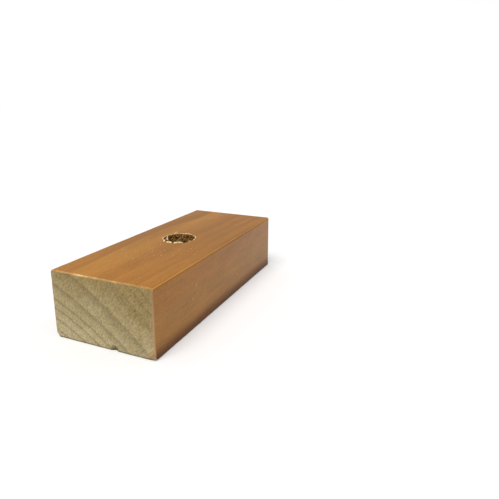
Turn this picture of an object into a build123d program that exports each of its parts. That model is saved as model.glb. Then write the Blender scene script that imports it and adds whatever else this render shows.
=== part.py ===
"""Wooden stamp block: the plain block behind a hand stamp.

A softwood moulding is varnished on its top and its two long sides, cut to length, and drilled once
in the top for the tenon of a turned handle. The base stays bare and flat, because the stamp die is
glued to it. It is one piece of wood, so it is one solid.

Millimetres. +X runs along the grain and +Z up, and the origin is the middle of the base. The sawn
end at -X is called the front end, and the long side at -Y the near side.
"""

from build123d import *
import math
import os

# --- the moulding -------------------------------------------------------------------------------
BLOCK_LENGTH = 76.2  # 3 in, along the grain
BLOCK_WIDTH = 31.75  # 1 1/4 in
BLOCK_HEIGHT = 19.05  # 3/4 in
TOP_ARRIS_RADIUS = 0.6  # the two long top edges, eased before varnishing
BASE_ARRIS_RADIUS = 0.35  # the two long base edges
SAWN_ARRIS = 0.25  # chamfer rubbed on every edge of the two sawn ends

# --- the handle hole ----------------------------------------------------------------------------
HOLE_DIAMETER = 10.0  # takes the 10 mm tenon of a handle
HOLE_DEPTH = 11.0  # depth at full diameter, from the top
HOLE_OFF_ALONG = 0.4  # drilled this far from the middle of the length, towards +X
HOLE_OFF_ACROSS = 0.6  # and this far from the middle of the width, towards +Y
DRILL_POINT_ANGLE = 118.0  # included angle of the cone that a twist drill leaves

# --- wood torn out round the mouth of the hole ----------------------------------------------------
TEAR_WIDTH = 0.2  # mean width of the torn ring beside the hole, across the grain
TEAR_ALONG_GRAIN = 0.72  # it is this much wider before and behind the hole, along the grain
TEAR_LEAN = 0.38  # and wider still by this towards -X, and narrower towards +X
TEAR_DEPTH = 0.7  # how far it reaches down the wall of the hole
TEAR_CORNERS = 36  # corners of its outline
TEAR_RIPPLES = ((5, 0.1, 0.4), (9, 0.08, 2.1), (14, 0.06, 4.4))  # waves round it, height, phase
TEAR_NARROWEST = 0.12  # the ring is nowhere narrower than this

# --- damage at the foot of the front end ----------------------------------------------------------
CHIP_ACROSS = 1.0  # the corner broken off at the +Y side, measured along its three edges
CHIP_UP = 1.3
CHIP_ALONG = 2.6
DENT_FROM_NEAR_SIDE = 12.4  # the middle of the dent in the base edge
DENT_WIDTH = 1.9
DENT_TOP = 1.5  # height of its highest point above the base
DENT_DEPTH = 0.7

front_end = -BLOCK_LENGTH / 2
near_side = -BLOCK_WIDTH / 2
far_side = BLOCK_WIDTH / 2
hole_foot = (HOLE_OFF_ALONG, HOLE_OFF_ACROSS, 0)  # where the axis of the hole meets the base
hole_radius = HOLE_DIAMETER / 2
drill_point_depth = hole_radius / math.tan(math.radians(DRILL_POINT_ANGLE / 2))
dent_radius = (DENT_WIDTH**2 / 4 + DENT_DEPTH**2) / (2 * DENT_DEPTH)


def torn_ring(share):
    """Corners of the torn ring, about the axis of the hole, at this share of its full width."""
    corners = []
    for corner in range(TEAR_CORNERS):
        angle = 2 * math.pi * corner / TEAR_CORNERS
        tear = TEAR_WIDTH + TEAR_ALONG_GRAIN * math.cos(angle) ** 10 - TEAR_LEAN * math.cos(angle) ** 9
        for waves, height, phase in TEAR_RIPPLES:
            tear += height * math.sin(waves * angle + phase)
        reach = hole_radius + share * max(tear, TEAR_NARROWEST)
        corners.append((reach * math.cos(angle), reach * math.sin(angle)))
    return corners


with BuildPart() as stamp_block:
    # The moulding: its section, run along the grain.
    with BuildSketch(Plane.YZ.offset(front_end)) as section:
        with Locations((0, BLOCK_HEIGHT / 2)):
            Rectangle(BLOCK_WIDTH, BLOCK_HEIGHT)
        fillet(section.vertices().group_by(Axis.Y)[-1], TOP_ARRIS_RADIUS)
        fillet(section.vertices().group_by(Axis.Y)[0], BASE_ARRIS_RADIUS)
    extrude(amount=BLOCK_LENGTH)

    # The two sawn ends, with their edges rubbed off.
    sawn_ends = stamp_block.faces().filter_by(Axis.X)
    chamfer(sawn_ends.edges(), SAWN_ARRIS)

    # The corner broken off the foot of the front end.
    chip_heel = Vector(front_end, far_side - CHIP_ACROSS, 0)
    chip_top = Vector(front_end, far_side, CHIP_UP)
    chip_tail = Vector(front_end + CHIP_ALONG, far_side, 0)
    broken_away = (chip_tail - chip_heel).cross(chip_top - chip_heel)
    split(bisect_by=Plane(chip_heel, x_dir=chip_top - chip_heel, z_dir=broken_away), keep=Keep.TOP)

    # The dent in the base edge of the same end.
    dent_centre = (
        front_end + DENT_DEPTH - dent_radius,
        near_side + DENT_FROM_NEAR_SIDE,
        DENT_TOP - DENT_WIDTH / 2,
    )
    with Locations(dent_centre):
        Sphere(dent_radius, mode=Mode.SUBTRACT)

    # The drilled hole: a straight wall, and the cone of the drill's point.
    with BuildSketch(Plane(hole_foot, x_dir=(1, 0, 0), z_dir=(0, -1, 0))) as drill:
        with BuildLine():
            Polyline(
                (0, BLOCK_HEIGHT),
                (hole_radius, BLOCK_HEIGHT),
                (hole_radius, BLOCK_HEIGHT - HOLE_DEPTH),
                (0, BLOCK_HEIGHT - HOLE_DEPTH - drill_point_depth),
                close=True,
            )
        make_face()
    revolve(axis=Axis(hole_foot, (0, 0, 1)), mode=Mode.SUBTRACT)

    # The torn mouth, which narrows from its ragged outline to the wall of the hole.
    mouth = Plane(hole_foot).offset(BLOCK_HEIGHT)
    with BuildSketch(mouth) as torn_outline:
        Polygon(*torn_ring(share=1), align=None)
    with BuildSketch(mouth.offset(-TEAR_DEPTH)) as torn_foot:
        Polygon(*torn_ring(share=0), align=None)
    loft(ruled=True, mode=Mode.SUBTRACT)

stamp_block.part.label = "stamp_block"

os.makedirs("parts", exist_ok=True)
export_step(stamp_block.part, "parts/stamp_block.step")
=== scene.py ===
"""Wooden stamp block, dressed round its CAD frame.

The block is one piece of softwood moulding: varnished on the top and the two long sides, bare where it
was sawn and on its base, and drilled in the top for a handle. Metres, in the frame of the CAD: +X runs
along the grain and +Z up. The end at -X is the front end, and the long side at -Y the near side.
"""

import bmesh
import bpy
import math
import random
from mathutils import Matrix, Vector, noise


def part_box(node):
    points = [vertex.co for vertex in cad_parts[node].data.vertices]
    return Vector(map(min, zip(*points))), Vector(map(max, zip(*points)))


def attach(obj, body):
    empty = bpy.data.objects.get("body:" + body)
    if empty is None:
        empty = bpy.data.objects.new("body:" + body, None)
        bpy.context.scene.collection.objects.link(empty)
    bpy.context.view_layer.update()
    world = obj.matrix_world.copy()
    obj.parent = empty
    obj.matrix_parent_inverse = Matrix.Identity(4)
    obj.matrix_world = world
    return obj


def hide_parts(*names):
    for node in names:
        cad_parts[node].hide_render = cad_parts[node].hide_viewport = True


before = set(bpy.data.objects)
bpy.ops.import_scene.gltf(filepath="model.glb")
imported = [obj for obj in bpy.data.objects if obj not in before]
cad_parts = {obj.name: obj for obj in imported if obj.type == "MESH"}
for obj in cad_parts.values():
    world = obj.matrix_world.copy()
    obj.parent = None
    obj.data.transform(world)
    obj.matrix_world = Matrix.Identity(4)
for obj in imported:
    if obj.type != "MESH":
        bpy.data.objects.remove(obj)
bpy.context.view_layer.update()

# --- The block: its moulding ----------------------------------------------------------------------
# One length of dressed softwood, planed to a plain section with its four long edges eased, and sawn
# square at both ends. Its skin is cut into fine strips here, so that it can be worn and chipped.

MM = 0.001
ALONG = Vector((1, 0, 0))  # the way of the grain
ACROSS = Vector((0, 1, 0))
UP = Vector((0, 0, 1))
TOP_ARRIS = 0.6 * MM
BASE_ARRIS = 0.35 * MM
SAWN_ARRIS = 0.3 * MM
LONG_STRIP = 0.8 * MM  # along the grain
STRIP = 0.4 * MM  # across it
FINE_STRIP = 0.25 * MM
FINE_REACH = 3.5 * MM  # how far from the front end, and from the base, the strips are fine
CUT_WITHIN = 0.005 * MM  # a cut this near to a vertex goes through it
VARNISHED, SAWN, BARE, TORN, DRILLED = range(5)  # the finishes of the skin

low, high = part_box("stamp_block")


def near(value, target):
    """Whether two measures are the same, but for rounding."""
    return abs(value - target) < 0.01 * MM


def long_edges(mesh, height):
    """The edges along the grain at one height."""
    found = []
    for edge in mesh.edges:
        run = edge.verts[0].co - edge.verts[1].co
        if abs(run.x) > abs(run.y) and all(near(vert.co.z, height) for vert in edge.verts):
            found.append(edge)
    return found


def ease(mesh, edges, width, segments):
    """Rounds edges over, as sandpaper does, and gives the faces of the rounding."""
    eased = bmesh.ops.bevel(
        mesh, geom=edges, offset=width, segments=segments, profile=0.5, affect="EDGES", material=-1
    )
    return eased["faces"]


def slice_skin(mesh, axis, places):
    """Cuts the skin of the mesh at each place along an axis."""
    for place in places:
        skin = mesh.verts[:] + mesh.edges[:] + mesh.faces[:]
        bmesh.ops.bisect_plane(mesh, geom=skin, plane_co=axis * place, plane_no=axis, dist=CUT_WITHIN)


def evenly(first, last, step):
    """Places between two ends, about a step apart."""
    count = round((last - first) / step)
    return [first + (last - first) * place / count for place in range(1, count)]


block = bmesh.new()
bmesh.ops.create_cube(block, size=1.0)
bmesh.ops.scale(block, vec=high - low, verts=block.verts)
bmesh.ops.translate(block, vec=(low + high) / 2, verts=block.verts)
for face in block.faces:
    if abs(face.normal.x) > 0.5:
        face.material_index = SAWN
    elif face.normal.z < -0.5:
        face.material_index = BARE
ease(block, long_edges(block, high.z), TOP_ARRIS, 5)
ease(block, long_edges(block, low.z), BASE_ARRIS, 3)
for end in (low.x, high.x):
    rim = [edge for edge in block.edges if all(near(vert.co.x, end) for vert in edge.verts)]
    for face in ease(block, rim, SAWN_ARRIS, 2):
        face.material_index = TORN if face.normal.z > -0.3 else BARE

flat_low = low + Vector((SAWN_ARRIS, TOP_ARRIS, BASE_ARRIS))
flat_high = high - Vector((SAWN_ARRIS, TOP_ARRIS, TOP_ARRIS))
fine_end = flat_low.x + FINE_REACH
fine_top = flat_low.z + FINE_REACH
slice_skin(block, ALONG, evenly(flat_low.x, fine_end, FINE_STRIP) + [fine_end])
slice_skin(block, ALONG, evenly(fine_end, flat_high.x, LONG_STRIP))
slice_skin(block, ACROSS, evenly(flat_low.y, flat_high.y, STRIP))
slice_skin(block, UP, evenly(flat_low.z, fine_top, FINE_STRIP) + [fine_top])
slice_skin(block, UP, evenly(fine_top, flat_high.z, STRIP))

# --- The block: its handle hole -------------------------------------------------------------------
# Drilled down into the top with a 10 mm twist drill, for the tenon of the handle. A dull drill tore
# up the varnish and the fibres round its mouth, most of all along the grain, and left the wall rough.

HOLE_RADIUS = 5.0 * MM
HOLE_DEPTH = 11.0 * MM
POINT_ANGLE = math.radians(118)
HOLE_PLACE = Vector((0.4 * MM, 0.6 * MM, high.z))
PATCH = 7.8 * MM  # half the side of the square of skin that is rebuilt round the mouth
TEAR_WIDTH = 0.2 * MM  # mean width of the torn ring, where it is beside the hole
TEAR_ALONG_GRAIN = 0.72 * MM  # it is this much wider before and behind the hole
TEAR_LEAN = 0.38 * MM  # and wider still by this towards -X
TEAR_RIPPLES = ((5, 0.1 * MM, 0.4), (9, 0.08 * MM, 2.1), (14, 0.06 * MM, 4.4))  # waves, height, phase
TEAR_NARROWEST = 0.12 * MM
TEAR_RAGGED = 0.14 * MM  # how far its outline strays
LIP_HEIGHT = 0.36 * MM
LIP_PEAK = math.radians(-155)  # bearing of its highest stretch
LIP_RINGS = (  # how far in across the torn ring, and how high up its crest
    (0.96, 0.14),
    (0.82, 0.3),
    (0.66, 0.5),
    (0.5, 0.7),
    (0.34, 0.88),
    (0.2, 1.0),
    (0.1, 0.75),
    (0.03, -0.2),
)
LIP_FRAY = 0.08 * MM
FRAY_CHANGE = 5 * MM  # the larger, the more its rings differ
COLLAR = 0.2 * MM  # flat varnish round the torn ring
NOTCHES = (  # where slivers of the lip broke away: bearing and half width in degrees, and share
    (-128, 14, 1.0),
    (118, 18, 0.45),
    (158, 5, 1.0),
    (-172, 2.7, 1.0),
)
NOTCH_REACH = 0.45 * MM  # how much wider the torn ring is where a sliver of it broke away
NOTCH_DIP = 0.1 * MM
NOTCH_DEPTH = 0.9 * MM  # how far a notch reaches down the wall
WALL_START = 0.1 * MM
WALL_RING = 0.25 * MM
WALL_ROUGH = 0.12 * MM
WALL_FUR = 0.1 * MM
TORN_REACH = 2.0 * MM  # how far down the wall is torn as well as rough
POINT_RINGS = 8  # from the foot of the wall to the point
WELDED_WITHIN = 0.001 * MM


def along_grain(place, length, thickness, seed):
    """Noise drawn out along the grain, from -1 to 1."""
    stretched = Vector((place.x / length, place.y / thickness, place.z / thickness))
    return noise.noise(stretched + Vector((0, 0, 17.3 * seed)))


def notched(angle):
    """How much of the lip is missing at a bearing: 1 where all of it broke away, 0 where none did."""
    deepest = 0
    for middle, half_width, share in NOTCHES:
        off = (math.degrees(angle) - middle + 180) % 360 - 180
        deepest = max(deepest, share * math.exp(-((off / half_width) ** 4)))
    return deepest


def torn_width(angle):
    """Width of the torn ring at a bearing."""
    tear = TEAR_WIDTH + TEAR_ALONG_GRAIN * math.cos(angle) ** 10 - TEAR_LEAN * math.cos(angle) ** 9
    for waves, height, phase in TEAR_RIPPLES:
        tear += height * math.sin(waves * angle + phase)
    return max(tear, TEAR_NARROWEST) + NOTCH_REACH * notched(angle)


def on_mouth(angle, radius, height):
    """A place by its bearing from the axis of the hole, its distance from it, and its height."""
    return HOLE_PLACE + Vector((radius * math.cos(angle), radius * math.sin(angle), height))


def torn_edge(angle):
    """How far the ragged outline of the torn ring is from the axis of the hole."""
    strayed = TEAR_RAGGED * along_grain(on_mouth(angle, HOLE_RADIUS, 0), 0.9 * MM, 0.25 * MM, 1)
    return HOLE_RADIUS + torn_width(angle) + strayed


def lip_height(angle):
    """Height of the crest of the torn lip, which is ragged and falls away where a sliver broke off."""
    rim = on_mouth(angle, HOLE_RADIUS, 0)
    crest = 0.3 + 0.65 * max(0, math.cos(angle - LIP_PEAK)) ** 10
    crest += 0.35 * along_grain(rim, 3.0 * MM, 1.2 * MM, 2)
    crest += 0.6 * along_grain(rim, 1.0 * MM, 0.25 * MM, 3)
    crest -= 2.5 * max(0, along_grain(rim, 2.0 * MM, 0.3 * MM, 13) - 0.2)  # splits
    return LIP_HEIGHT * max(crest, -0.6) * (1 - notched(angle))


def next_ring(mesh, ring, finish):
    """Extrudes a ring of edges, and gives the new ring and its vertices."""
    made = bmesh.ops.extrude_edge_only(mesh, edges=ring)["geom"]
    verts = {item for item in made if isinstance(item, bmesh.types.BMVert)}
    edges = [item for item in made if isinstance(item, bmesh.types.BMEdge)]
    new_ring = [edge for edge in edges if all(vert in verts for vert in edge.verts)]
    for item in made:
        if isinstance(item, bmesh.types.BMFace):
            item.material_index = finish
    return new_ring, verts


def bearing(vert):
    """The angle that a vertex is seen at from the axis of the hole."""
    return math.atan2(vert.co.y - HOLE_PLACE.y, vert.co.x - HOLE_PLACE.x)


# the flat skin round the mouth makes way for a band that runs from its square border to the round mouth
patch = []
for face in block.faces:
    offset = face.calc_center_median() - HOLE_PLACE
    if face.normal.z > 0.99 and max(abs(offset.x), abs(offset.y)) < PATCH:
        patch.append(face)
bmesh.ops.delete(block, geom=patch, context="FACES")
border = [edge for edge in block.edges if edge.is_boundary]
below = Matrix.Translation(on_mouth(0, 0, -HOLE_RADIUS))
circle = bmesh.ops.create_circle(block, segments=len(border), radius=HOLE_RADIUS, matrix=below)
mouth = list({edge for vert in circle["verts"] for edge in vert.link_edges})
bmesh.ops.bridge_loops(block, edges=border + mouth)
bmesh.ops.subdivide_edges(block, edges=mouth, cuts=2)

# the mouth: the collar, and the torn ring that rises to the lip
ring = [edge for edge in block.edges if edge.is_boundary]
for vert in {vert for edge in ring for vert in edge.verts}:
    angle = bearing(vert)
    vert.co = on_mouth(angle, torn_edge(angle) + COLLAR, 0)
ring, verts = next_ring(block, ring, VARNISHED)
for vert in verts:
    angle = bearing(vert)
    vert.co = on_mouth(angle, torn_edge(angle), 0)
for share, rise in LIP_RINGS:
    ring, verts = next_ring(block, ring, TORN)
    for vert in verts:
        angle = bearing(vert)
        gap = notched(angle)
        crest = lip_height(angle) if rise > 0 else LIP_HEIGHT
        rim = on_mouth(angle, HOLE_RADIUS, share * FRAY_CHANGE)
        frayed = LIP_FRAY * along_grain(rim, 0.8 * MM, 0.2 * MM, 4)
        across = (share + 0.85 * (1 - share) * gap) * torn_width(angle) + frayed
        height = rise * crest + 0.5 * frayed - NOTCH_DIP * (1 - share) * gap
        vert.co = on_mouth(angle, HOLE_RADIUS + across, height)

# the wall, and the cone that the point of the drill left
for depth in evenly(WALL_START, HOLE_DEPTH + WALL_RING, WALL_RING):
    ring, verts = next_ring(block, ring, DRILLED)
    for vert in verts:
        angle = bearing(vert)
        wall = on_mouth(angle, HOLE_RADIUS, -depth)
        torn = 1 + 2 * math.exp(-depth / TORN_REACH)
        rough = torn * WALL_ROUGH * along_grain(wall, 2.0 * MM, 0.6 * MM, 5)
        rough += WALL_FUR * along_grain(wall, 0.6 * MM, 0.25 * MM, 6)
        rough += 0.85 * notched(angle) * torn_width(angle) * math.exp(-depth / NOTCH_DEPTH)
        vert.co = on_mouth(angle, HOLE_RADIUS + rough, -depth)
for step in range(1, POINT_RINGS + 1):
    ring, verts = next_ring(block, ring, DRILLED)
    radius = HOLE_RADIUS * (1 - step / POINT_RINGS)
    depth = HOLE_DEPTH + (HOLE_RADIUS - radius) / math.tan(POINT_ANGLE / 2)
    for vert in verts:
        vert.co = on_mouth(bearing(vert), radius, -depth)
bmesh.ops.remove_doubles(block, verts=list(verts), dist=WELDED_WITHIN)

# --- The block: its wear --------------------------------------------------------------------------
# The planed faces are a little uneven and the sawn ends rough, and the arrises are rubbed. At the foot
# of the front end one corner is broken off, the other is bruised, and the edge between has a dent.

UNEVEN = 0.012 * MM  # how deep the planed faces dip
SAWN_ROUGH = 0.035 * MM
RUBBED = 0.06 * MM  # how deep the arrises are worn
CHIP_ACROSS = 1.0 * MM  # the broken corner, measured along its three edges
CHIP_UP = 1.3 * MM
CHIP_ALONG = 2.6 * MM
CHIP_ROUGH = 0.14 * MM
BRUISE_REACH = 2.2 * MM  # how far the bruise spreads from its corner
BRUISE_DEPTH = 0.22 * MM
BRUISE_WAY = Vector((1, 1, 0.6))  # the way that the wood was pushed in
DENT_RADIUS = 1.0 * MM
DENT_DEPTH = 0.7 * MM
DENT_FROM_NEAR_SIDE = 12.4 * MM
DENT_HEIGHT = 0.55 * MM
DENT_ROUGH = 0.1 * MM
DENT_PLACE = low + Vector((DENT_DEPTH - DENT_RADIUS, DENT_FROM_NEAR_SIDE, DENT_HEIGHT))
FLAT = 0.98  # how near to an axis the normal is on a flat face, where 1 is along it

chip_heel = Vector((low.x, high.y - CHIP_ACROSS, low.z))
chip_top = Vector((low.x, high.y, low.z + CHIP_UP))
chip_tail = Vector((low.x + CHIP_ALONG, high.y, low.z))
chip_outward = (chip_top - chip_heel).cross(chip_tail - chip_heel).normalized()


def wear_depth(vert):
    """How far a vertex is worn in, which depends on where it lies."""
    if max(abs(part) for part in vert.normal) < FLAT:  # on an arris
        bite = max(0, along_grain(vert.co, 5 * MM, 1.2 * MM, 7))
        bite += max(0, along_grain(vert.co, 1.3 * MM, 0.5 * MM, 8) - 0.2)
        return RUBBED * bite
    if abs(vert.normal.x) > FLAT:  # on a sawn end
        return SAWN_ROUGH * (0.5 + 0.5 * along_grain(vert.co, 1 * MM, 0.7 * MM, 12))
    return UNEVEN * (1 + along_grain(vert.co, 14 * MM, 5 * MM, 9))


def break_off(vert):
    """Brings a vertex of the missing corner back to the break, and says whether it was one."""
    beyond = (vert.co - chip_heel).dot(chip_outward)
    at_corner = vert.co.y > high.y - 2 * CHIP_ACROSS and vert.co.x < low.x + 2 * CHIP_ALONG
    if beyond <= 0 or not at_corner:
        return False
    jagged = CHIP_ROUGH * (0.4 + along_grain(vert.co, 1.5 * MM, 0.35 * MM, 10))
    vert.co -= chip_outward * (beyond + jagged)
    return True


def bruise(vert):
    """Pushes a vertex in by what the bruise does to it."""
    pushed = max(0, 1 - (vert.co - low).length / BRUISE_REACH)
    crumpled = 0.5 + along_grain(vert.co, 1.5 * MM, 0.4 * MM, 14)
    vert.co += BRUISE_WAY * BRUISE_DEPTH * pushed * crumpled


def dent(vert):
    """Pushes a vertex in to the surface of the dent."""
    across = vert.co - DENT_PLACE
    reach = DENT_RADIUS**2 - across.y**2 - across.z**2
    if reach > 0 and across.x < math.sqrt(reach):
        jagged = DENT_ROUGH * along_grain(vert.co, 1 * MM, 0.3 * MM, 11)
        vert.co.x = DENT_PLACE.x + math.sqrt(reach) + jagged


block.normal_update()
broken = set()
for vert in block.verts:
    if (vert.co.xy - HOLE_PLACE.xy).length < PATCH and not near(vert.co.z, low.z):
        continue  # the hole has its own roughness
    vert.co -= vert.normal * wear_depth(vert)
    if break_off(vert):
        broken.add(vert)
    bruise(vert)
    dent(vert)
for face in block.faces:
    if all(vert in broken for vert in face.verts):
        face.material_index = TORN


def new_piece(name, shape):
    """Turns a finished bmesh into an object of the scene."""
    mesh = bpy.data.meshes.new(name)
    shape.to_mesh(mesh)
    shape.free()
    piece = bpy.data.objects.new(name, mesh)
    bpy.context.scene.collection.objects.link(piece)
    return piece


block_piece = new_piece("block", block)
block_piece.data.shade_smooth()
block_piece.data.set_sharp_from_angle(angle=math.radians(40))

# --- The block: its finishes ----------------------------------------------------------------------
# Amber varnish on the top and the long sides, worn off the sawn arrises; bare end grain, yellowed by the
# varnish that it drew in from above; a bare planed base; and raw fibres where the wood is torn. Here and
# there shade and light are painted into these colours as well, as marked where they are.


class Wire:
    """One output of a shader node. Arithmetic on it adds Math nodes to the same material."""

    def __init__(self, tree, output):
        self.tree = tree
        self.output = output

    def node(self, kind, settings=None, sockets=None, out=0):
        """Adds a node: its settings first, then a value or a wire for each named socket."""
        made = self.tree.nodes.new(kind)
        for name, value in (settings or {}).items():
            if name == "stops":
                lay_stops(made.color_ramp, value)
            else:
                setattr(made, name, value)
        for name, value in (sockets or {}).items():
            feed(made.inputs[name], value)
        return Wire(self.tree, made.outputs[out])

    def math(self, operation, *values):
        """Adds a Math node on these values and wires."""
        return self.node("ShaderNodeMath", {"operation": operation}, dict(enumerate(values)))

    def __add__(self, other):
        return self.math("ADD", self, other)

    def __sub__(self, other):
        return self.math("SUBTRACT", self, other)

    def __rsub__(self, other):
        return self.math("SUBTRACT", other, self)

    def __mul__(self, other):
        return self.math("MULTIPLY", self, other)

    def __truediv__(self, other):
        return self.math("DIVIDE", self, other)

    def __pow__(self, other):
        return self.math("POWER", self, other)

    def __abs__(self):
        return self.math("ABSOLUTE", self)

    __radd__ = __add__
    __rmul__ = __mul__

    def between(self, first, last):
        """0 at the first value, 1 at the last, and a smooth step between."""
        bounds = {"Value": self, "From Min": first, "From Max": last}
        return self.node("ShaderNodeMapRange", {"interpolation_type": "SMOOTHSTEP"}, bounds)


def feed(socket, value):
    """Gives a socket a wire, or a value of its own."""
    if isinstance(value, Wire):
        value.tree.links.new(value.output, socket)
    else:
        socket.default_value = value


def lay_stops(ramp, stops):
    """Sets a ramp to a list of (position, tone)."""
    while len(ramp.elements) < len(stops):
        ramp.elements.new(1.0)
    for element, (position, tone) in zip(ramp.elements, stops):
        element.position = position
        element.color = (tone, tone, tone, 1)


def paint(red, green, blue):
    """A colour as a shader takes it, from its screen values out of 255."""
    return (*(((part / 255 + 0.055) / 1.055) ** 2.4 for part in (red, green, blue)), 1.0)


def blend(amount, first, second):
    """Mixes two colours."""
    return amount.node("ShaderNodeMix", {"data_type": "RGBA"}, {0: amount, 6: first, 7: second}, out=2)


def shaded(colour, amount):
    """A wired or a painted colour, made lighter or darker by a factor."""
    vector = colour if isinstance(colour, Wire) else colour[:3]
    return amount.node("ShaderNodeVectorMath", {"operation": "SCALE"}, {0: vector, "Scale": amount})


def tinted(colour, tint):
    """A wired colour seen through a tint."""
    return colour.node("ShaderNodeVectorMath", {"operation": "MULTIPLY"}, {0: colour, 1: tint})


def new_finish(name):
    """An empty material, its shader, and the place of a point on the block in millimetres."""
    finish = bpy.data.materials.new(name)
    finish.use_nodes = True
    tree = finish.node_tree
    coordinates = tree.nodes.new("ShaderNodeTexCoord")
    place = Wire(tree, coordinates.outputs["Object"])
    place = place.node("ShaderNodeVectorMath", {"operation": "SCALE"}, {0: place, "Scale": 1 / MM})
    return finish, tree.nodes["Principled BSDF"], place


def part_of(place, axis):
    """One of the three coordinates of a place."""
    return place.node("ShaderNodeSeparateXYZ", {}, {0: place}, out=axis)


def speckle(place, lengths, detail=2.0, roughness=0.5, seed=0.0):
    """Noise from 0 to 1 whose grains have these lengths along X, Y and Z, in millimetres."""
    fine = tuple(1 / length for length in lengths)
    shift = (seed, seed, seed)
    stretch = {"operation": "MULTIPLY_ADD"}
    stretched = place.node("ShaderNodeVectorMath", stretch, {0: place, 1: fine, 2: shift})
    sockets = {"Vector": stretched, "Scale": 1.0, "Detail": detail, "Roughness": roughness}
    return place.node("ShaderNodeTexNoise", {"noise_dimensions": "3D"}, sockets)


LENGTH, WIDTH, HEIGHT = (high - low) / MM  # of the block, because the finishes work in millimetres
PITH = (39.05, -50.85)  # where the heart of the tree lay, across and up from the middle of the base
RINGS = (  # how far from the pith each growth ring ends, and how wide and how dark its late wood is
    (54.6, 0.8, 1.0),
    (58.1, 0.8, 1.0),
    (61.0, 0.7, 1.0),
    (63.7, 0.8, 1.0),
    (66.0, 0.8, 1.0),
    (69.4, 2.2, 1.0),
    (74.2, 4.0, 0.95),
    (80.3, 5.0, 0.6),
    (82.8, 1.8, 0.5),
    (84.7, 1.5, 0.6),
    (87.6, 2.0, 0.5),
)
LATE_LINE = 0.26  # width of the hard dark line that closes a ring
EARLY_START = 0.36  # how far beyond the middle of that line the next ring's early wood is clean
FLATTENED_OVER = 9.5  # the rings are flatter above this height


def from_pith(place):
    """How far a point is from the pith, across and up."""
    return part_of(place, 1) - PITH[0], part_of(place, 2) - PITH[1]


def ring_radius(place):
    """How far out in the tree a point is. The rings wander a little along the block."""
    across, up = from_pith(place)
    from_front = part_of(place, 0) - low.x / MM
    wander = (speckle(place, (50, 30, 30), 1.0, seed=3.1) - 0.5) * from_front * 0.08
    wobble = (speckle(place, (18, 3.5, 3.5), 2.0, seed=5.7) - 0.5) * 0.45
    over = part_of(place, 2) - FLATTENED_OVER
    flattened = over.math("MAXIMUM", over, 0.0) * 0.14
    return (across * across + up * up) ** 0.5 + wander + wobble - flattened


def pith_angle(place):
    """The angle that a point is seen at from the pith."""
    across, up = from_pith(place)
    return up.math("ARCTAN2", up, across)


def ring_tone(radius, line):
    """Light early wood that darkens through each growth ring's late wood to the line that ends it."""
    first, last = RINGS[0][0] - 1, RINGS[-1][0] + 1
    scaled = (radius - first) / (last - first)
    half = len(RINGS) // 2
    tones = []
    for rings in (RINGS[:half], RINGS[half:]):  # all the rings are too many for one ramp
        stops = []
        for edge, late, dark in rings:
            for off, tone in (
                (-late, 0.05),
                (-0.5 * late, 0.3),
                (-0.5 * LATE_LINE, line),
                (0.5 * LATE_LINE, line),
                (EARLY_START, 0.0),
            ):
                stops.append(((edge + off - first) / (last - first), tone * dark))
        tones.append(scaled.node("ShaderNodeValToRGB", {"stops": stops}, {0: scaled}))
    inner, outer = tones
    outside = scaled.math("GREATER_THAN", scaled, stops[0][0])
    return inner * (1 - outside) + outer * outside


def finish_off(shader, colour, roughness, height=None, bump=0.0, **others):
    """Gives a shader its colour, roughness and bump, and what any other sockets take, by name."""
    feed(shader.inputs["Base Color"], colour)
    feed(shader.inputs["Roughness"], roughness)
    if height:
        sockets = {"Height": height, "Strength": 1.0, "Distance": bump * MM}
        feed(shader.inputs["Normal"], height.node("ShaderNodeBump", {}, sockets))
    for name, value in others.items():
        feed(shader.inputs[name.replace("_", " ")], value)


def distance_from(place, point):
    """How far a place is from a point of the block."""
    ends = {0: place, 1: tuple(point / MM)}
    return place.node("ShaderNodeVectorMath", {"operation": "DISTANCE"}, ends, out=1)


def side_share(height):
    """0 on the top and 1 on the long sides, and a step between them over the long top edge."""
    return 1 - height.between(HEIGHT - 1.15, HEIGHT - 0.25)


RAW_DULL = paint(204, 154, 92)
RAW_BRIGHT = paint(238, 198, 138)


def raw_fibre(place):
    """The fibres of torn wood."""
    return speckle(place, (1.6, 0.3, 0.3), 2.0, 0.6, seed=1.1)


def raw_colour(place, fibre):
    """Torn wood with a little varnish left between its fibres."""
    patchy = speckle(place, (4.0, 3.0, 3.0), 2.0, seed=9.4)
    colour = blend(patchy.between(0.35, 0.65), RAW_DULL, RAW_BRIGHT)
    return shaded(colour, 0.3 + 1.4 * fibre)


AMBER = paint(184, 125, 44)
DEEP_AMBER = paint(164, 106, 33)  # over late wood, and towards the near side
# painted shade: the colour that the foot of the sides darkens to
SHADED_FOOT_AMBER = paint(118, 70, 24)
THIN_AMBER_AND_HIGHLIGHT = paint(226, 172, 104)  # on the eased long top arrises: thin varnish, and a painted highlight
FOOT_SHADE_BAND = (0.7, 4.9)  # heights between which the painted shade at the foot of the sides fades out
CONTACT_SHADE_BAND = (0.3, 0.7)  # and the painted shade along the very foot
ARRIS_IN = (0.475, 0.175)  # where the thin varnish with its painted highlight starts and is palest, in from the long sides
ARRIS_DOWN = (0.45, 0.2)  # and down from the top
BROKEN_IN = (0.65, 0.25)  # how far in from the sawn ends it starts to be broken off, and mostly is
SIDE_TINT = (1, 0.93, 0.87)  # the sides are redder towards the top


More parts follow.
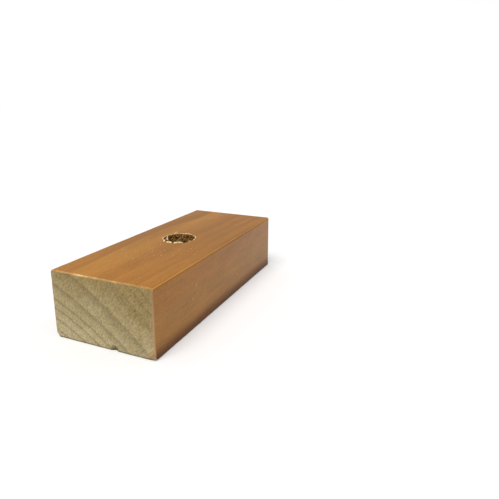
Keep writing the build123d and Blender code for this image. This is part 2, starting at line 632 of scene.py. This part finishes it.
def varnished_finish():
    """Amber varnish over the grain: painted shade at its foot; thin with a painted highlight, or gone,
    at edges.
    """
    finish, shader, place = new_finish("amber_varnish")
    along, across, height = part_of(place, 0), part_of(place, 1), part_of(place, 2)
    on_side = side_share(height)
    fibre = speckle(place, (9, 0.3, 0.3), 3.0, 0.7, seed=1.3)
    streak = speckle(place, (40, 1.6, 1.6), 2.0, seed=2.9)
    cloud = speckle(place, (9, 4, 4), 2.0, seed=8.2)
    peel = speckle(place, (0.5, 0.5, 0.5), 1.0, seed=5.2)

    # the colour of the varnish
    deeper = 0.6 * (1 - across.between(-2, 6)) * (1 - 0.85 * on_side)
    rings = ring_tone(ring_radius(place), 0.8) * (1 - 0.75 * on_side)
    colour = blend(rings + deeper, AMBER, DEEP_AMBER)
    # painted shade, darkening the sides towards their foot
    foot = 1 - height.between(*FOOT_SHADE_BAND)
    colour = blend(foot, colour, SHADED_FOOT_AMBER)
    # painted shade along the very foot of the sides
    colour = shaded(colour, 1 - 0.25 * (1 - height.between(*CONTACT_SHADE_BAND)))

    # the grain under it, and its orange peel
    grain = (1 - 0.1 * on_side) * (0.5 * fibre + 0.26 * streak + 0.4 * peel - 0.58)
    colour = shaded(colour, 1 + grain + (0.2 + 0.2 * on_side) * (cloud - 0.5))

    # how it changes over the block, with some light and shade painted in
    colour = blend(height.between(9, 15) * on_side, colour, tinted(colour, SIDE_TINT))
    # darker on the sides, less so near their top, where light is painted in
    colour = shaded(colour, 1 - (0.14 - 0.1 * height.between(17.2, 18.2)) * on_side)
    # thin varnish and a painted highlight along the long top edges
    near_top = height.between(HEIGHT - ARRIS_DOWN[0], HEIGHT - ARRIS_DOWN[1])
    arris = abs(across).between(WIDTH / 2 - ARRIS_IN[0], WIDTH / 2 - ARRIS_IN[1]) * near_top
    colour = blend(arris * (0.1 + 0.8 * fibre), colour, THIN_AMBER_AND_HIGHLIGHT)
    # darker towards +X, partly painted shade
    colour = shaded(colour, 1.01 - 0.19 * along.between(-38, 8) * (1 - 0.6 * on_side))
    # painted shade over the far side of the top, deeper towards +X
    far = across.between(6.5, 9.5) * (1 - on_side)
    colour = shaded(colour, 1 - (0.05 + 0.08 * along.between(-30, -8)) * far)

    # raw wood where it broke off with the edge of a sawn end
    ragged = speckle(place, (0.5, 1.3, 0.5), 3.0, 0.7, seed=4.9)
    end_band = abs(along).between(LENGTH / 2 - BROKEN_IN[0], LENGTH / 2 - BROKEN_IN[1])
    at_ends = end_band * (1 - on_side)
    chipped = (at_ends + 1.1 * ragged).between(1.25, 1.45)
    colour = blend(chipped, colour, raw_colour(place, raw_fibre(place)))

    gloss = (0.06 + 0.35 * on_side) * (1 - 0.6 * foot) * (1 - chipped)
    finish_off(
        shader,
        colour,
        0.5,
        fibre + peel,
        0.012,
        Specular_IOR_Level=0.08,
        Coat_Weight=gloss,
        Coat_Roughness=0.14,
    )
    return finish


DRY_GRAIN = paint(188, 172, 132)
SOAKED_SHADED_GRAIN = paint(158, 136, 90)  # with varnish drawn in from above, and painted shade
RUBBED_GRAIN = paint(198, 154, 110)
BRUISED_GRAIN = paint(176, 146, 102)
MEAN_RADIUS = 75.0  # of the growth rings, which turns angles round the pith into millimetres
RUBBED_BAND = (0.3, 1.0)  # beside the upright arris of the near side
# heights over which the painted shade at the foot of the end grain fades out
SHADED_FOOT = (0.1, 0.8)
BRUISED_PLACE = low + Vector((0, 0.6 * MM, 0.8 * MM))
BRUISED_REACH = (0.9, 2.8)
DENT_REACH = (0.7, 1.5)  # how far from its middle the painted shade in the dent fades out


def sawn_finish():
    """End grain: growth rings crossed by fine rays, with pores, and painted shade at the foot and in the
    dent.
    """
    finish, shader, place = new_finish("sawn_end_grain")
    across, height = part_of(place, 1), part_of(place, 2)
    radius = ring_radius(place)
    around = pith_angle(place) * MEAN_RADIUS
    polar = radius.node("ShaderNodeCombineXYZ", {}, {"X": radius, "Y": around, "Z": part_of(place, 0)})
    rays = speckle(polar, (0.9, 0.34, 3.0), 1.0, seed=2.2)
    long_rays = speckle(polar, (4.0, 0.4, 3.0), 1.0, seed=8.8)
    pits = speckle(polar, (0.9, 0.28, 3.0), 0.0, seed=7.7).between(0.62, 0.74)
    mottle = speckle(place, (0.36, 0.36, 0.36), 1.0, seed=4.4)
    patches = speckle(place, (5, 5, 5), 2.0, seed=6.1)

    # darker and yellower at the top and towards the near side: varnish drawn in from above, and painted
    # shade
    soaked_and_shaded = 0.75 * height / HEIGHT + 0.3 * (WIDTH / 2 - across) / WIDTH + 0.6 * (patches - 0.5)
    soaked_and_shaded = soaked_and_shaded.between(0.05, 1.0)
    colour = blend(soaked_and_shaded, DRY_GRAIN, SOAKED_SHADED_GRAIN)
    colour = shaded(colour, 1 - 0.28 * ring_tone(radius, 1.0))
    colour = shaded(colour, 0.3 + 0.7 * rays + 0.76 * mottle - 0.21 * pits)

    rubbed = 1 - (across + WIDTH / 2).between(*RUBBED_BAND)
    colour = blend(0.6 * rubbed, colour, shaded(RUBBED_GRAIN, 1.08 - 0.32 * soaked_and_shaded))
    bruised = 1 - distance_from(place, BRUISED_PLACE).between(*BRUISED_REACH)
    colour = blend(0.75 * bruised, colour, shaded(BRUISED_GRAIN, 0.3 + 1.3 * long_rays))

    # the long rays show low down on the near side, and painted shade at the foot and in the dent
    crossed = (1 - across.between(-12, -6)) * (1 - height.between(7, 12))
    in_dent = 1 - distance_from(place, DENT_PLACE).between(*DENT_REACH)
    foot_and_dent_shade = 0.4 * (1 - height.between(*SHADED_FOOT)) + 0.45 * in_dent
    colour = shaded(colour, (1 + 0.4 * crossed * (long_rays - 0.5)) * (1 - foot_and_dent_shade))
    finish_off(shader, colour, 0.85, rays + mottle, 0.1, Specular_IOR_Level=0.15)
    return finish


PLANED_EARLY = paint(188, 170, 124)
PLANED_LATE = paint(170, 143, 94)


def bare_finish():
    """The planed base, with painted shade on the arrises round it."""
    finish, shader, place = new_finish("bare_planed_wood")
    fibre = speckle(place, (9, 0.3, 0.3), 3.0, 0.6, seed=1.9)
    fuzz = speckle(place, (0.8, 0.4, 0.4), 2.0, seed=6.6)
    colour = blend(ring_tone(ring_radius(place), 1.0), PLANED_EARLY, PLANED_LATE)
    # painted shade on the arrises round the base
    shaded_arris = part_of(place, 2).between(0.025, 0.08)
    colour = shaded(colour, (0.7 + 0.3 * fibre + 0.3 * fuzz) * (1 - 0.7 * shaded_arris))
    finish_off(shader, colour, 0.8, fibre + fuzz, 0.03, Specular_IOR_Level=0.2)
    return finish


PALE_STRETCHES = (  # how bare the top arris of a sawn end is, from its near end to its far end
    (0.0, 0.15),
    (0.28, 0.2),
    (0.32, 0.8),
    (0.38, 0.8),
    (0.42, 0.35),
    (0.58, 0.5),
    (0.62, 1.0),
    (0.77, 1.0),
    (0.82, 0.35),
    (1.0, 0.25),
)
VARNISHED_ARRIS = paint(172, 128, 74)
UPRIGHT_ARRIS = paint(184, 144, 101)
LIP_PALE = paint(255, 218, 162)
LIP_PALEST = paint(255, 230, 172)  # before the hole, towards the front end
LIP_STAINED = paint(184, 142, 76)  # its outermost fibres, with varnish in them
PALE_REACH = (5.7, 6.1)  # how far from the middle of the hole its lip is pale
STAINED_REACH = (8, 9)


def torn_finish():
    """Torn wood: rubbed pale along the arrises of the sawn ends, and raw round the hole."""
    finish, shader, place = new_finish("torn_fibres")
    along, across, height = part_of(place, 0), part_of(place, 1), part_of(place, 2)
    fibre = raw_fibre(place)

    # the arrises of the sawn ends
    pale = across.node("ShaderNodeValToRGB", {"stops": PALE_STRETCHES}, {0: across / WIDTH + 0.5})
    colour = blend(pale, shaded(VARNISHED_ARRIS, 0.5 + fibre), raw_colour(place, fibre))
    rubbed = shaded(UPRIGHT_ARRIS, (0.7 + 0.6 * fibre) * (1 - 0.15 * height.between(10, 18)))
    colour = blend(side_share(height), colour, rubbed)

    # the mouth of the hole
    from_hole = distance_from(place, HOLE_PLACE)
    before_hole = 1 - along.between(-4, -1)
    inner = 1 - from_hole.between(*PALE_REACH)
    outer = (1 - inner) * (1 - from_hole.between(*STAINED_REACH))
    beaded = 0.6 + 0.55 * fibre.between(0.36, 0.6)
    colour = blend(inner * (1 - before_hole), colour, shaded(LIP_PALE, beaded))
    colour = blend(inner * before_hole, colour, shaded(LIP_PALEST, beaded))
    colour = blend(0.9 * outer, colour, LIP_STAINED)
    finish_off(shader, colour, 0.8, fibre, 0.06, Specular_IOR_Level=0.15)
    return finish


DARK_WALL = paint(112, 70, 20)
CLEAN_WALL = paint(204, 156, 88)


def drilled_finish():
    """The wall of the hole, dark brown but for its raised fibres."""
    finish, shader, place = new_finish("drilled_wall")
    fibre = speckle(place, (1.2, 0.35, 0.35), 2.0, 0.6, seed=7.1)
    patchy = speckle(place, (1.8, 0.9, 0.9), 1.0, seed=3.6)
    colour = blend(fibre.between(0.46, 0.62), DARK_WALL, CLEAN_WALL)
    colour = shaded(colour, 0.35 + 0.9 * patchy.between(0.3, 0.7))
    finish_off(shader, colour, 0.8, fibre, 0.1, Specular_IOR_Level=0.15)
    return finish


# in the order in which the skin's finishes are numbered
for finish in (varnished_finish(), sawn_finish(), bare_finish(), torn_finish(), drilled_finish()):
    block_piece.data.materials.append(finish)

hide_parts("stamp_block")
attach(block_piece, "root")

# --- Torn fibres ----------------------------------------------------------------------------------
# Slivers of the block's own wood that the drill lifted at the mouth of the hole and tore on its wall.
# They are still rooted in the block.

LIP_SLIVERS = 90
WALL_SLIVERS = 80
CLEAN_CUT = (-115, -45)  # bearings between which the drill cut cleanly, and left no small slivers
TIP_SHARE = 0.2  # how thick the tip of a sliver is against its foot
FLATTENED = (1, 0.45)  # squashes the round section of a sliver
SMALL_BOW = 0.06 * MM
BIG_BOW = 0.1 * MM

random.seed(12)
fibres = bmesh.new()


def cleanly_cut(angle):
    """Whether the drill cut cleanly at a bearing."""
    return CLEAN_CUT[0] < math.degrees(angle) < CLEAN_CUT[1]


def sliver(foot, tip, thickness, bend, section=FLATTENED):
    """A thin sliver that tapers from its foot to its tip, bowed by an offset in the middle."""
    run = tip - foot
    made = bmesh.ops.create_cone(
        fibres,
        cap_ends=True,
        segments=4,
        radius1=thickness,
        radius2=TIP_SHARE * thickness,
        depth=run.length,
    )["verts"]
    edges = list({edge for vert in made for edge in vert.link_edges})
    faces = list({face for vert in made for face in vert.link_faces})
    cut = bmesh.ops.bisect_plane(
        fibres, geom=made + edges + faces, plane_co=(0, 0, 0), plane_no=UP, dist=WELDED_WITHIN
    )
    middle = [item for item in cut["geom_cut"] if isinstance(item, bmesh.types.BMVert)]
    everything = list(set(made + middle))
    turned = run.to_track_quat("Z", "X").to_matrix().to_4x4()
    bmesh.ops.scale(fibres, vec=(*section, 1), verts=everything)
    bmesh.ops.transform(fibres, matrix=turned, verts=everything)
    bmesh.ops.translate(fibres, vec=(foot + tip) / 2, verts=everything)
    bmesh.ops.translate(fibres, vec=bend, verts=middle)


# round the lip, along the grain
for _ in range(LIP_SLIVERS):
    angle = random.uniform(-math.pi, math.pi)
    share = random.uniform(0.1, 0.7)
    length = random.uniform(0.3, 1.1) * MM
    slant = random.uniform(-0.35, 0.35)
    lift = random.uniform(0.1, 0.55)
    thickness = random.uniform(0.06, 0.14) * MM
    if cleanly_cut(angle) or notched(angle) > 0.5:
        continue
    foot = on_mouth(angle, HOLE_RADIUS + share * torn_width(angle), 0.3 * lip_height(angle))
    way = Vector((-math.copysign(1, math.cos(angle)), slant, lift)).normalized()
    sliver(foot - way * 0.15 * MM, foot + way * length, thickness, UP * SMALL_BOW)

# on the wall
for _ in range(WALL_SLIVERS):
    angle = random.uniform(-math.pi, math.pi)
    depth = random.triangular(0.1, 5.0, 0.4) * MM
    foot = on_mouth(angle, HOLE_RADIUS, -depth)
    inward = Vector((-math.cos(angle), -math.sin(angle), 0))
    way = (inward * random.uniform(0.3, 1.0) + UP * random.uniform(-0.6, 1.2)).normalized()
    length = random.uniform(0.3, 1.0) * MM
    thickness = random.uniform(0.06, 0.16) * MM
    if not cleanly_cut(angle):
        sliver(foot - inward * 0.2 * MM, foot + way * length, thickness, inward * SMALL_BOW)

BIG_SLIVERS = (  # bearing, distance from the axis and height of the foot, the same of the tip, thickness
    ((50, 5.3, -0.1), (38, 5.25, 0.6), 0.34),  # sticks up over the back of the mouth
    ((44, 5.2, -0.1), (45, 4.4, -0.6), 0.3),  # hangs below it
    ((30, 5.2, -1.3), (30, 4.4, -1.8), 0.26),
    ((15, 5.2, -1.9), (14, 4.2, -2.5), 0.34),
    ((22, 5.1, -0.4), (21, 4.8, -1.7), 0.18),
    ((60, 5.0, -2.0), (41, 4.9, -2.15), 0.12),  # with the next, a ring cut round the wall
    ((42, 5.0, -2.15), (20, 4.9, -2.35), 0.12),
    ((-20, 5.2, -1.1), (-22, 4.5, -1.5), 0.2),
)
TONGUE_ENDS = ((97, 4.36, -1.0), (83, 5.05, 0.05))  # hangs off the side of the mouth
TONGUE_THICKNESS = 0.27
TONGUE_SECTION = (0.3, 1)  # its flat side up


def big_sliver(ends, thickness, section=FLATTENED):
    """A sliver with a place of its own: each end by its bearing, distance from the axis and height."""
    foot, tip = (on_mouth(math.radians(way), out * MM, up * MM) for way, out, up in ends)
    sliver(foot, tip, thickness * MM, UP * BIG_BOW, section)


for foot, tip, thickness in BIG_SLIVERS:
    big_sliver((foot, tip), thickness)
big_sliver(TONGUE_ENDS, TONGUE_THICKNESS, TONGUE_SECTION)

fibres_piece = new_piece("torn_fibres", fibres)

SPLINTER_TOP = paint(240, 205, 150)
SPLINTER_LIT = paint(246, 216, 164)  # just below the top: painted light, where the slivers lie in the shade of the hole
SPLINTER_SHADED = paint(190, 142, 86)  # down in the hole: painted shade


def splinter_finish():
    """Fresh raw wood: painted light just below the top of the hole, and painted shade down in it."""
    finish, shader, place = new_finish("loose_splinters")
    fibre = speckle(place, (0.6, 0.25, 0.25), 2.0, 0.6, seed=2.7)
    height = part_of(place, 2)
    colour = blend(height.between(HEIGHT - 0.45, HEIGHT), SPLINTER_LIT, SPLINTER_TOP)
    colour = blend(1 - height.between(15.5, 18.2), colour, SPLINTER_SHADED)
    colour = shaded(colour, 0.6 + 0.8 * fibre)
    finish_off(shader, colour, 0.8, fibre, 0.03, Specular_IOR_Level=0.15)
    return finish


fibres_piece.data.materials.append(splinter_finish())
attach(fibres_piece, "root")

# --- Varnish nibs ---------------------------------------------------------------------------------
# Specks of dust that settled in the wet varnish and dried into low pale bumps.

NIB_PATCHES = (  # along from the front end, across from the far side, how far they spread, how many
    (26, 22, 4.5, 26),
    (27, 11.5, 4, 12),
    (17, 12, 4, 8),
    (58, 16, 14, 14),
)
SIDE_NIBS = (  # along from an end, height, and size
    (20.2, 12.5, 0.15),
    (20.7, 9.8, 0.11),
    (18.2, 9.0, 0.11),
    (25, 9, 0.09),
    (32, 15.3, 0.09),
    (47, 6.2, 0.11),
    (61, 11, 0.12),
)
NIB_FROM_END = 2 * MM  # none is nearer
NIB_FROM_SIDE = 1 * MM
NIB_FROM_HOLE = 2 * MM
NIB_RISE = 0.3  # how high a nib is against its radius
NEAR_SIDE_RUN = 3.0  # and how long, where it ran down a side
FAR_SIDE_RUN = 1.5

random.seed(7)
nibs = bmesh.new()


def nib(place, normal, size, drawn_out=1.0):
    """A low bump, round or drawn out."""
    lie = Matrix.Translation(place) @ normal.to_track_quat("Z", "X").to_matrix().to_4x4()
    squashed = lie @ Matrix.Diagonal((drawn_out, random.uniform(0.6, 1), NIB_RISE, 1))
    bmesh.ops.create_uvsphere(nibs, u_segments=8, v_segments=4, radius=size, matrix=squashed)


for along, across, spread, count in NIB_PATCHES:
    for _ in range(count):
        x = low.x + random.gauss(along, spread) * MM
        y = high.y - random.gauss(across, spread) * MM
        place = Vector((x, y, high.z))
        inside = abs(x) < high.x - NIB_FROM_END and abs(y) < high.y - NIB_FROM_SIDE
        if inside and (place - HOLE_PLACE).length > HOLE_RADIUS + NIB_FROM_HOLE:
            nib(place, UP, random.uniform(0.08, 0.2) * MM)
for along, height, size in SIDE_NIBS:
    nib(Vector((low.x + along * MM, low.y, height * MM)), -ACROSS, size * MM, NEAR_SIDE_RUN)
    nib(Vector((high.x - along * MM, high.y, height * MM)), ACROSS, size * MM, FAR_SIDE_RUN)

nibs_piece = new_piece("varnish_nibs", nibs)
nibs_piece.data.shade_smooth()

DUST_DULL = paint(212, 166, 108)
DUST_PALE = paint(236, 196, 142)


def nib_finish():
    """Dust under a skin of varnish."""
    finish, shader, place = new_finish("dusty_varnish")
    dust = speckle(place, (0.2, 0.2, 0.2), 1.0)
    colour = blend(dust, DUST_DULL, DUST_PALE)
    finish_off(shader, colour, 0.4, Specular_IOR_Level=0.3, Coat_Weight=0.2, Coat_Roughness=0.14)
    return finish


nibs_piece.data.materials.append(nib_finish())
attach(nibs_piece, "root")

# --- Floor ----------------------------------------------------------------------------------------
# A plain pale floor that runs to the horizon and carries the shadow of the block.

FLOOR_REACH = 4.0
FLOOR_TONE = (0.8, 0.8, 0.8, 1)
FLOOR_LIFT = 0.24  # added where it is looked at, so that the lit floor is white

floor = bmesh.new()
bmesh.ops.create_circle(floor, segments=64, radius=FLOOR_REACH, cap_ends=True)
bmesh.ops.translate(floor, vec=UP * low.z, verts=floor.verts)
floor_piece = new_piece("floor", floor)


def seen(tree):
    """1 for rays that look at a thing, straight, in a reflection or through glass, and 0 for light."""
    rays = tree.nodes.new("ShaderNodeLightPath").outputs
    camera, glossy, through = (
        Wire(tree, rays[f"Is {kind} Ray"]) for kind in ("Camera", "Glossy", "Transmission")
    )
    return camera.math("MAXIMUM", camera.math("MAXIMUM", camera, glossy), through)


floor_finish = bpy.data.materials.new("pale_floor")
floor_finish.use_nodes = True
floor_shader = floor_finish.node_tree.nodes["Principled BSDF"]
lift = shaded((1, 1, 1), FLOOR_LIFT * seen(floor_finish.node_tree))
finish_off(
    floor_shader, FLOOR_TONE, 1.0, Specular_IOR_Level=0.0, Emission_Color=lift, Emission_Strength=1.0
)
floor_piece.data.materials.append(floor_finish)

# --- Light ----------------------------------------------------------------------------------------
# Plain soft studio light: an even sky, and one broad key light high over the front end.

SKY = 0.52
KEY = 0.56
KEY_TOWARDS = Vector((-0.46, 0.04, 0.88))
KEY_SPREAD = math.radians(35)
WHITE = (1, 1, 1, 1)

sky = bpy.data.worlds.new("sky")
bpy.context.scene.world = sky
sky.use_nodes = True
sky.node_tree.nodes.clear()
looked_at = seen(sky.node_tree)
ambient = looked_at.node("ShaderNodeBackground", {}, {"Color": WHITE, "Strength": SKY})
backdrop = looked_at.node("ShaderNodeBackground", {}, {"Color": WHITE, "Strength": 1.0})
both = looked_at.node("ShaderNodeMixShader", {}, {0: looked_at, 1: ambient, 2: backdrop})
world_output = sky.node_tree.nodes.new("ShaderNodeOutputWorld")
feed(world_output.inputs["Surface"], both)

key_light = bpy.data.lights.new("key", "SUN")
key_light.energy = KEY * math.pi
key_light.angle = KEY_SPREAD
key = bpy.data.objects.new("key", key_light)
key.rotation_euler = KEY_TOWARDS.to_track_quat("Z", "Y").to_euler()
bpy.context.scene.collection.objects.link(key)

# --- Camera ---------------------------------------------------------------------------------------
# Low over the corner between the front end and the near side.

CAMERA_PLACE = Vector((-119.26, -75.13, 60.53)) * MM
CAMERA_HEADING = math.radians(23.16)  # from +X towards +Y
CAMERA_DIP = math.radians(-14.16)
CAMERA_ROLL = math.radians(0.25)
LENS = 32.58
SENSOR_WIDTH = 36.0
CAMERA_RISE = -0.060
NEAREST_SEEN = 10 * MM

camera_data = bpy.data.cameras.new("camera")
camera_data.lens = LENS
camera_data.sensor_width = SENSOR_WIDTH
camera_data.shift_y = CAMERA_RISE
camera_data.clip_start = NEAREST_SEEN
camera = bpy.data.objects.new("camera", camera_data)
headed = Matrix.Rotation(CAMERA_HEADING - math.pi / 2, 4, "Z")
dipped = Matrix.Rotation(CAMERA_DIP + math.pi / 2, 4, "X")
rolled = Matrix.Rotation(CAMERA_ROLL, 4, "Z")
camera.matrix_world = Matrix.Translation(CAMERA_PLACE) @ headed @ dipped @ rolled
bpy.context.scene.collection.objects.link(camera)
bpy.context.scene.camera = camera
bpy.context.scene.view_settings.view_transform = "Standard"
